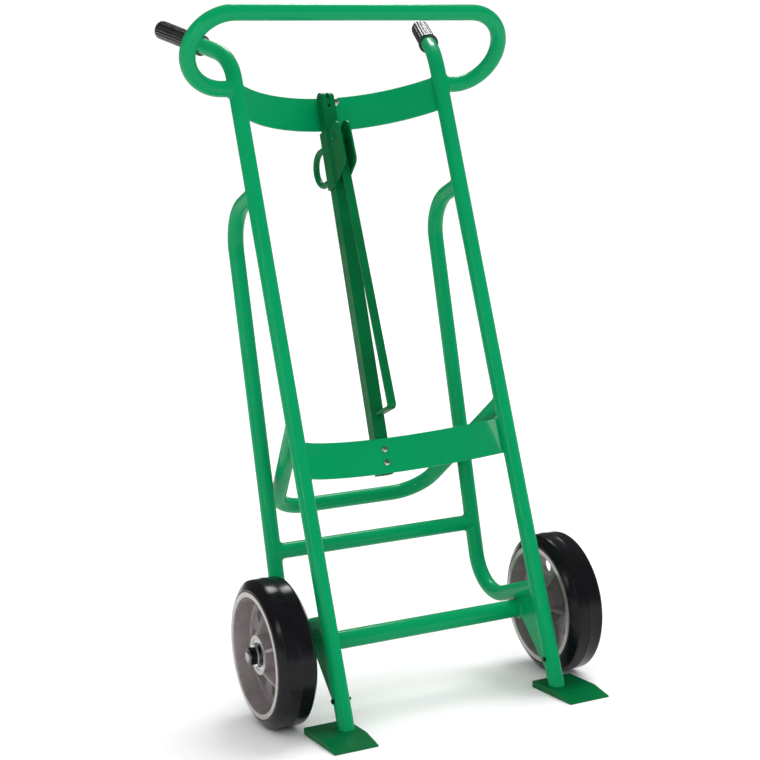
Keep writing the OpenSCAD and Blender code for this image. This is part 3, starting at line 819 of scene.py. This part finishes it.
def toe_bolts():
    """A small hex bolt through each rail's foot, its head on the left and its end just out on the right"""
    head_t, across, radius, sunk = 0.0032, 0.008, 0.0025, 0.0005
    parts = []
    for rail_x in (-RAIL_X, RAIL_X):
        head = moved(rail_x - TUBE_R + sunk, 0, TOE_BOLT_AT) @ rotated(pi, "Z")
        end = moved(rail_x + TUBE_R, 0, TOE_BOLT_AT)
        parts += [(hex_form(across, head_t + sunk), head), (thread(radius, -0.004, 0.003, 0.0008), end)]
    piece("foot_bolts", joined(*parts), RAILS, BLACK_OXIDE, "toe_bolts")


# ---- Axle, washers and nuts ----

def axle():
    """The bar, and its threaded ends outside the nuts"""
    plain = AXLE_END - 0.018
    shapes = [rod(AXLE_R, -plain, plain, 48)]
    shapes += [(thread(AXLE_R, plain, AXLE_END, 0.0018), mirrored(side)) for side in (-1, 1)]
    piece("axle_bar", joined(*shapes), AXLE, AXLE_STEEL, "axle")


def washers():
    inner, outer = WHEEL_X - RACE_HALF - WASHER_ROOM, WHEEL_X + RACE_HALF + WASHER_ROOM - WASHER_T
    places = [mirrored(side) @ moved(x) for side in (-1, 1) for x in (inner, outer)]
    shapes = [(washer(AXLE_R + 0.0002, WASHER_R, WASHER_T), place) for place in places]
    piece("wheel_washers", joined(*shapes), AXLE, ZINC, "axle_washers")


def nuts():
    seat = moved(WHEEL_X + RACE_HALF + WASHER_ROOM) @ rotated(radians(20), "X")
    bore = AXLE_R - 0.0004
    shapes = [(hex_form(AXLE_NUT_W, AXLE_NUT_T, bore), mirrored(side) @ seat) for side in (-1, 1)]
    piece("wheel_nuts", joined(*shapes), AXLE, BLACK_OXIDE, "axle_nuts")


# ---- Wheels ----

WHEEL_AT = {word: moved(side * WHEEL_X, AXLE_AT.y, AXLE_AT.z) for side, word in SIDES}


def tyre(word):
    """A moulded tyre: bevelled shoulders, a parting ridge round the tread and a bead against the rim"""
    tread_r = WHEEL_R - 0.0006
    half = WHEEL_HALF_W - 0.001
    outer = [(RIM_R - 0.0005, half - 0.0008, 0), (RIM_R + 0.0035, half - 0.0004, 0),
             (WHEEL_R - 0.0085, half - 0.0052, 0), (WHEEL_R - 0.0012, TREAD_HALF_W + 0.0028, 0),
             (tread_r, TREAD_HALF_W - 0.002, 0), (tread_r, 0.0018, 0)]
    upper = [(p.x, p.y) for p in rounded(outer, [0, 0.0015, 0.0022, 0.0022, 0.004, 0])]
    upper += [(tread_r + 0.0001, 0.0014), (WHEEL_R, 0.0008)]
    profile = upper + [(r, -x) for r, x in reversed(upper)]
    piece(f"{word}_tyre", lathe(profile, 160), WHEEL_AT[word], TYRE, f"tyre_{word}", crease=60)


def rib_height(r, t):
    """Height of a rib at radius r and distance t to its side: it falls from the boss to the web"""
    flat_top, side_slope = 0.0030, 9.0
    top = min(HUB_HALF - 0.0006, 0.027 - (r - HUB_R - 0.005) * 0.536)
    return top - max(0.0, abs(t) - flat_top) * side_slope


def smooth_max(a, b, soft=0.0022):
    h = max(soft - abs(a - b), 0.0) / soft
    return max(a, b) + h * h * soft / 4


def rim_profile():
    """Half a cross-section from the bearing's seat out to the tyre, as closely spaced (radius, x) points"""
    half, bore = WHEEL_HALF_W, BEARING_R + 0.0002
    corners = [(bore, HUB_HALF - 0.004, 0), (bore, HUB_HALF, 0), (HUB_R, HUB_HALF, 0),
               (HUB_R + 0.003, WEB, 0), (RIM_R - 0.0145, WEB, 0), (RIM_R - 0.0092, half - 0.002, 0),
               (RIM_R - 0.0080, half, 0), (RIM_R, half, 0)]
    radii = [0, 0.0005, 0.0012, 0.0040, 0.0035, 0.0010, 0.0006, 0]
    profile = rounded(corners, radii, step=radians(12))
    dense = [profile[0]]
    for a, b in zip(profile, profile[1:]):
        cuts = max(1, round((b - a).length / 0.0016))
        dense += [a.lerp(b, k / cuts) for k in range(1, cuts + 1)]
    return dense


def rim_columns(first_rib, r):
    """The grid's lines at radius r, as (angle, distance from a rib's middle), or None between ribs"""
    half_rib = (0.0015, 0.0026, 0.0031, 0.0037, 0.0044, 0.0053, 0.0064, 0.008)
    across_rib = [-t for t in reversed(half_rib)] + [0.0] + list(half_rib)
    between = 42
    edge = asin(half_rib[-1] / r)
    columns = []
    for i in range(RIBS):
        rib = first_rib + SECTOR * i
        columns += [(rib + asin(t / r), t) for t in across_rib]
        gap = SECTOR - 2 * edge
        columns += [(rib + edge + gap * k / (between + 1), None) for k in range(1, between + 1)]
    return columns


def rim_face(shape, profile, first_rib, face):
    """The vertices of one side of a rim: rows from the bore out, and columns round the axle"""
    rows = []
    for point in profile:
        r = point.x
        row = []
        for angle, t in rim_columns(first_rib, r):
            high = point.y
            if t is not None and HUB_R - 0.002 < r < RIM_R - 0.012:
                high = smooth_max(high, rib_height(r, t))
            row.append(shape.verts.new((face * high, r * cos(angle), r * sin(angle))))
        rows.append(row)
    return rows


def hole_cells(rows, holes):
    """The grid's cells that lie in a hole, as {(row, column): the hole's centre}"""
    count = len(rows[0])
    cells = {}
    for i, (low, high) in enumerate(zip(rows, rows[1:])):
        for k in range(count):
            n = (k + 1) % count
            corners = [Vector((v.co.y, v.co.z)) for v in (low[k], low[n], high[n], high[k])]
            middle = sum(corners, Vector((0, 0))) / 4
            for hole in holes:
                if (middle - hole).length < HOLE_R:
                    cells[i, k] = hole
    return cells


def round_holes(faces, cells):
    """Moves the vertices on each hole's edge onto its circle"""
    count = len(faces[0][0])
    touched = {}
    for (i, k), hole in cells.items():
        for di, dk in ((0, 0), (0, 1), (1, 1), (1, 0)):
            touched.setdefault((i + di, (k + dk) % count), [hole, 0])[1] += 1
    for (i, k), (hole, uses) in touched.items():
        if uses < 4:
            for rows in faces:
                spot = rows[i][k].co
                spot.yz = hole + (spot.yz - hole).normalized() * HOLE_R


def rim(side, word):
    """A cast disc wheel: lip, deep dish, ribs that run from the boss, and round holes through the web"""
    profile = rim_profile()
    hole_angles = [RIM_TURN[word] + SECTOR * i for i in range(RIBS)]
    holes = [Vector((HOLE_AT * cos(a), HOLE_AT * sin(a))) for a in hole_angles]
    shape = bmesh.new()
    faces = [rim_face(shape, profile, hole_angles[0] + SECTOR / 2, face) for face in (1, -1)]
    near, far = faces
    cells = hole_cells(near, holes)
    round_holes(faces, cells)
    count, last = len(near[0]), len(profile) - 1

    for rows in faces:
        for i, (r, x, _) in enumerate(profile[:-1]):
            lip = x > WHEEL_HALF_W - 0.0012
            boss = r < HUB_R - 0.0005 and x > HUB_HALF - 0.0007
            for k in range(count):
                if (i, k) not in cells:
                    n = (k + 1) % count
                    made = shape.faces.new((rows[i][k], rows[i][n], rows[i + 1][n], rows[i + 1][k]))
                    made.material_index = int(lip or boss)

    def wall(a, b):
        """A face through the wheel between two of the grid's points"""
        shape.faces.new((near[a[0]][a[1]], near[b[0]][b[1]], far[b[0]][b[1]], far[a[0]][a[1]]))

    for i, k in cells:
        n = (k + 1) % count
        edges = {(i - 1, k): ((i, k), (i, n)), (i + 1, k): ((i + 1, k), (i + 1, n)),
                 (i, (k - 1) % count): ((i, k), (i + 1, k)), (i, n): ((i, n), (i + 1, n))}
        for neighbour, (a, b) in edges.items():
            if neighbour not in cells:
                wall(a, b)
    for i in (0, last):
        for k in range(count):
            wall((i, k), (i, (k + 1) % count))
    bmesh.ops.delete(shape, geom=[v for v in shape.verts if not v.link_faces], context="VERTS")
    materials = [CAST, TURNED[word]]
    piece(f"{word}_rim", shape, WHEEL_AT[word] @ mirrored(side), materials, f"rim_{word}", crease=38)


def bearings(word):
    """Two ball bearings: polished races, a dark shield and an inner race that stands out to the washers"""
    face, race_in, soft = HUB_HALF - 0.001, BEARING_R - 0.004, 0.0004
    profile = [(AXLE_R + 0.0002, face - BEARING_W), (BEARING_R, face - BEARING_W), (BEARING_R, face - soft),
               (BEARING_R - soft, face), (race_in + 0.0003, face), (race_in, face - 0.0008),
               (race_in, face - 0.001), (race_in - 0.0012, face - soft), (RACE_R + 0.0012, face - soft),
               (RACE_R, face - 0.001), (RACE_R, RACE_HALF - soft), (RACE_R - soft, RACE_HALF),
               (AXLE_R + 0.0002, RACE_HALF)]
    shapes = []
    for facing in (-1, 1):
        ring = lathe(profile)
        for f in ring.faces:
            middle = f.calc_center_median()
            f.material_index = int(RACE_R < hypot(middle.y, middle.z) < race_in)
        shapes.append((ring, mirrored(facing)))
    materials = [RACE_STEEL, BLACK_OXIDE]
    piece(f"{word}_bearings", joined(*shapes), WHEEL_AT[word], materials, f"bearings_{word}", crease=25)


# ---- Hook bar with its lug, bolts and pin ----

def hook_bar():
    """Square tube with rounded edges and a forked top whose ears are round"""
    half, slot_half, slot_foot = BAR_W / 2, FORK_SLOT_W / 2, BAR_TOP - FORK_SLOT_LEN
    fork = [(-half, BAR_FOOT), (half, BAR_FOOT), (half, BAR_TOP), (slot_half, BAR_TOP),
            (slot_half, slot_foot), (-slot_half, slot_foot), (-slot_half, BAR_TOP), (-half, BAR_TOP)]
    front = prism(fork, -half - 0.001, half + 0.001)
    front.transform(rotated(-pi / 2, "Z"))
    side_view = flat([(-half, BAR_FOOT - 0.01), (half, BAR_FOOT - 0.01), (half, BAR_TOP), (-half, BAR_TOP)],
                     [0, 0, half - 1e-5, half - 1e-5])
    solid = carved(front, prism(side_view, -half - 0.002, half + 0.002), "INTERSECT")
    inner, bore_len = BAR_W - 2 * BAR_WALL, 0.12
    bore = block((inner, inner, bore_len), (0, 0, BAR_FOOT + bore_len / 2 - 0.01))
    solid = carved(solid, bore, "DIFFERENCE")
    piece("square_hook_bar", solid, BAR, DARK_GREEN, "hook_bar", bevel=0.0016)


def bar_lug():
    """A lug on the upper band that stands in the bar's fork, with the weld at its foot"""
    half_t = FORK_SLOT_W / 2 - 0.0003
    low, high = BAR_TOP - 0.028, BAR_TOP - 0.008
    tip_r, sunk = BAR_W / 2 + BAR_PIN.y, 0.0003

    def band_y(z):
        reach = UPPER_BOW - BAND_T / 2 - BAR_BASE.y + z * sin(BAR_TILT)
        return reach / cos(BAR_TILT) + sunk

    angles = (pi * k / 16 for k in range(17))
    tip = [(BAR_PIN.y - tip_r * sin(a), BAR_PIN.z + tip_r * cos(a)) for a in angles]
    outline = tip + [(0.010, low), (band_y(low), low), (band_y(high), high), (0.010, high)]
    piece("fork_lug", prism(outline, -half_t, half_t), BAR, DARK_GREEN, "hook_bar_lug", bevel=0.0005)
    beads = []
    for face in (-1, 1):
        start, end = (Vector((face * half_t, band_y(z) - sunk, z)) for z in (low, high))
        beads.append(fillet(straight_samples(start, end, -Y_AXIS, X_AXIS * face), 0.0035, closed=False))
    weld_piece("lug_welds", beads, BAR, DARK_GREEN, slot="dark_green_paint")


def bar_bolts():
    """Domed heads on the band's front, nuts behind the bar"""
    head_at = LOWER_BOW - BAND_T / 2 - 0.0001
    nut_at = BAR_BASE.y + BAR_W / 2 + 0.0027
    parts = []
    for u in BAR_BOLTS_AT:
        head = moved(0, head_at, u) @ rotated(-pi / 2, "Z")
        nut = moved(0, nut_at, u) @ rotated(pi / 2, "Z")
        parts += [(dome(0.0056, 0.0034), head), (hex_form(0.010, 0.005, BOLT_R), nut),
                  (thread(BOLT_R, -0.02, 0.008, 0.001), nut)]
    piece("bar_bolts", joined(*parts), RAILS, ZINC, "hook_bar_bolts")


def bar_pin():
    """A pin with a flat painted head on the left and a nut on the right"""
    half, head_r, head_t = BAR_W / 2, 0.0055, 0.0015
    outline = [(0, 0), (head_r, 0), (head_r, head_t), (0, head_t)]
    head = lathe(flat(outline, [0, 0.0002, 0.0005, 0], closed=False), 48)
    for f in head.faces:
        f.material_index = 1
    nut = hex_form(0.013, 0.0065, PIN_R - 0.0001)
    parts = [(head, moved(-half) @ rotated(pi, "Z")), rod(PIN_R, -half, half), (nut, moved(half)),
             (thread(PIN_R, 0, 0.010, 0.00125), moved(half))]
    piece("fork_pin", joined(*parts), BAR @ moved(*BAR_PIN), [ZINC, DARK_GREEN], "hook_bar_pin")


# ---- Hook slider ----

def sleeve():
    """Square tube with round corners, which slides on the hook bar"""
    def square(width, radius):
        return flat([(a * width / 2, b * width / 2) for a, b in CORNERS], radius)

    outer = prism(square(SLEEVE_W, 0.0035), 0, SLIDER_LEN)
    inner = prism(square(SLEEVE_HOLE_W, 0.0010), -0.01, SLIDER_LEN + 0.01)
    solid = carved(outer, inner, "DIFFERENCE")
    solid.transform(Matrix(((0, 1, 0, 0), (0, 0, 1, 0), (1, 0, 0, 0), (0, 0, 0, 1))))
    piece("hook_sleeve", solid, SLIDER, DARK_GREEN, "slider_sleeve", bevel=0.0006, crease=40)


def cheek_outline():
    """A cheek seen from the side: round top, a nose at the front and a tapered underside"""
    back, top_y, top_r = -SLEEVE_W / 2 + 0.0003, -0.044, 0.021
    top_z = SLIDER_LEN - 0.014
    underside = [(back, 0.006), (-0.036, 0.015), (-0.064, 0.030), (-0.0695, 0.038), (top_y - top_r, top_z)]
    lower = flat(underside, [0, 0.03, 0.012, 0.010, 0], closed=False)[:-1]
    angles = (radians(d) for d in range(180, 44, -6))
    crown = [(top_y + top_r * cos(a), top_z + top_r * sin(a)) for a in angles]
    return lower + crown + [(back, SLIDER_LEN)]


def cheeks():
    shapes = [(prism(cheek_outline(), CHEEK_OUT - CHEEK_T, CHEEK_OUT), mirrored(side)) for side in (-1, 1)]
    piece("hook_cheeks", joined(*shapes), SLIDER, DARK_GREEN, "slider_cheeks", bevel=0.0009)


def slider_welds():
    """Welds down the cheeks' joints with the sleeve, and round the feet of the ring's rod"""
    front, back = -SLEEVE_W / 2, SLEEVE_W / 2
    beads = []
    for s in (-1, 1):
        low, high = Vector((s * CHEEK_OUT, front, 0.010)), Vector((s * CHEEK_OUT, front, 0.102))
        samples = straight_samples(low, high, -Y_AXIS, X_AXIS * s)
        beads.append(fillet(samples, 0.003, closed=False))
    for z in (-RING_R, RING_R):
        foot = Vector((0, back + RING_PLATE_T, RING_UP + z))
        samples = []
        for k in range(40):
            radial = Vector((cos(pi * k / 20), 0, sin(pi * k / 20)))
            samples.append((foot + radial * RING_ROD_R, Y_AXIS, radial))
        beads.append(fillet(samples, 0.0028))
    weld_piece("slider_welds", beads, SLIDER, DARK_GREEN, "slider", "dark_green_paint")


def ring_handle():
    """A bent rod on a backing plate"""
    back, leg = SLEEVE_W / 2, 0.038
    near, far = back + RING_PLATE_T - 0.001, back + RING_PLATE_T + leg + RING_R
    low, high = RING_UP - RING_R, RING_UP + RING_R
    plate = block((0.022, RING_PLATE_T, high - low + 0.024), (0, back + RING_PLATE_T / 2, RING_UP))
    bmesh.ops.bevel(plate, geom=plate.edges[:], offset=0.0007, segments=2, affect="EDGES")
    corners = [(0, near, low), (0, far, low), (0, far, high), (0, near, high)]
    ring = tube(corners, RING_R - 1e-6, RING_ROD_R, 28)
    piece("finger_ring_handle", joined(plate, ring), SLIDER, DARK_GREEN, "ring_handle", crease=50)


def arm_pin():
    """A pivot pin headed over at both ends"""
    half = CHEEK_OUT + 0.001
    parts = [rod(PIN_R, -half, half)]
    parts += [(dome(0.006, 0.003), mirrored(side) @ moved(CHEEK_OUT)) for side in (-1, 1)]
    place = SLIDER @ moved(*PIVOT)
    piece("pivot_pin", joined(*parts), place, DARK_GREEN, "arm_pin", slot="dark_green_paint", crease=50)


def hook_arm():
    """Forged flat arm: an eye at the pivot and a foot bent back under the bar"""
    half_t, half_w, soft = ARM_T / 2, ARM_W / 2, 0.0012
    eye_r, bore = 0.009, PIN_R + 0.00005
    section = flat([(-half_t, -half_w), (half_t, -half_w), (half_t, half_w), (-half_t, half_w)], soft)
    foot_z = -ARM_LEN + half_t
    line = rounded([(0, 0, -0.004), (0, 0, foot_z), (0, FOOT_LEN - half_t - 0.0001, foot_z)], 0.007)
    shank = sweep(line, section, normal=Y_AXIS)
    eye = lathe([(bore, -half_w), (eye_r - soft, -half_w), (eye_r, -half_w + soft),
                 (eye_r, half_w - soft), (eye_r - soft, half_w), (bore, half_w)], 56)
    piece("forged_hook_arm", joined(shank, eye), ARM, DARK_GREEN, "hook_arm", crease=50)


# ---- Build ----

for side, word in SIDES:
    rail(side, word)
    grip(side, word)
    band_welds(side, word)
    brace(side, word)
    tube_welds(side, word)
    gusset(side, word)
    gusset_welds(side, word)
    toe(side, word)
    tyre(word)
    rim(side, word)
    bearings(word)
loop_handle()
band("upper_drum_band", "upper_band", UPPER_BAND_AT, UPPER_BOW, UPPER_FOLD_X)
band("lower_drum_band", "lower_band", LOWER_BAND_AT, LOWER_BOW, BAND_FOLD_X)
cross_tube()
foot_bar()
axle_tube()
toe_bolts()
axle()
washers()
nuts()
hook_bar()
bar_lug()
bar_bolts()
bar_pin()
sleeve()
cheeks()
slider_welds()
ring_handle()
arm_pin()
hook_arm()

# The spacers inside the axle tube keep their CAD shape and take a finished material
spacers = frame["nodes"]["axle_spacers"].data
spacers.materials.clear()
spacers.materials.append(ZINC)

# ---- Floor, light and camera ----

def floor():
    """A wide sheet of matt white paper"""
    half = 40.0
    paper = Shader("white_paper", (0.86, 0.86, 0.86), 0.9, specular=0.1)
    paper.bump(paper.noise(300, 2), 0.00002)
    mesh = bpy.data.meshes.new("floor")
    corners = [(x * half, y * half, 0) for x, y in CORNERS]
    mesh.from_pydata(corners, [], [(0, 1, 2, 3)])
    mesh.materials.append(paper.material)
    add_object("floor", mesh)


def aim(azimuth, elevation):
    """A direction from an azimuth (0 is the drum side, 90 is +X) and an elevation, in degrees"""
    a, e = radians(azimuth), radians(elevation)
    return Vector((sin(a) * cos(e), -cos(a) * cos(e), sin(e)))


def sun(name, strength, angle, azimuth, elevation):
    """A broad distant light that only lights surfaces and isn't mirrored in them"""
    data = bpy.data.lights.new(name, "SUN")
    data.energy = strength
    data.angle = radians(angle)
    obj = add_object(name, data)
    obj.rotation_euler = aim(azimuth, elevation).to_track_quat("Z", "Y").to_euler()
    obj.visible_glossy = False


def soft_box(name, radiance, size, azimuth, elevation):
    """A soft box that only shows as highlights"""
    target, distance = Vector((0, 0, 0.6)), 3.0
    data = bpy.data.lights.new(name, "AREA")
    data.shape = "RECTANGLE"
    data.size, data.size_y = size
    data.energy = radiance * size[0] * size[1] * pi
    obj = add_object(name, data)
    way = aim(azimuth, elevation)
    obj.location = target + way * distance
    obj.rotation_euler = way.to_track_quat("Z", "Y").to_euler()
    obj.visible_diffuse = False


def sky():
    """An even white room: bright to the camera, and dim in reflections"""
    world = bpy.data.worlds.new("studio")
    bpy.context.scene.world = world
    world.use_nodes = True
    tree = world.node_tree
    backdrop, ambient, mirrored_room = 1.05, 0.85, 0.12
    total = ambient
    for ray, brightness in (("Is Camera Ray", backdrop), ("Is Glossy Ray", mirrored_room)):
        seen = add_node(tree, "LightPath", ray, {})
        change = add_node(tree, "Math", "Value", {0: seen, 1: brightness - ambient}, operation="MULTIPLY")
        total = add_node(tree, "Math", "Value", {0: change, 1: total}, operation="ADD")
    tree.nodes["Background"].inputs["Color"].default_value = (1, 1, 1, 1)
    tree.links.new(total, tree.nodes["Background"].inputs["Strength"])


def camera():
    """The photograph's viewpoint: a long lens, a little above the handle's height"""
    yaw, pitch, roll = (radians(a) for a in (25.23, 6.03, -3.31))
    ahead = Vector((sin(yaw) * cos(pitch), cos(yaw) * cos(pitch), -sin(pitch)))
    right = Vector((cos(yaw), -sin(yaw), 0))
    up = right.cross(ahead)
    rolled_right = right * cos(roll) + up * sin(roll)
    rolled_up = up * cos(roll) - right * sin(roll)
    data = bpy.data.cameras.new("camera")
    data.lens = 75.5
    data.sensor_width = 36
    obj = add_object("camera", data)
    turn = Matrix((rolled_right, rolled_up, -ahead)).transposed().to_4x4()
    obj.matrix_world = FLOOR @ moved(-1.2133, -2.34795, 0.8572) @ turn
    bpy.context.scene.camera = obj


floor()
sky()
sun("key", 1.9, 35, 120, 58)
sun("front", 0.6, 50, -20, 40)
soft_box("rear_box", 18.0, (0.85, 0.85), 150, 52)
soft_box("left_strip", 12.0, (0.20, 1.6), -58, 14)
soft_box("front_strip", 10.0, (0.10, 0.8), -25, 4)
soft_box("side_strip", 14.0, (0.12, 0.6), -91, 9)
camera()
bpy.context.scene.view_settings.view_transform = "Standard"
bpy.context.scene.view_settings.look = "None"
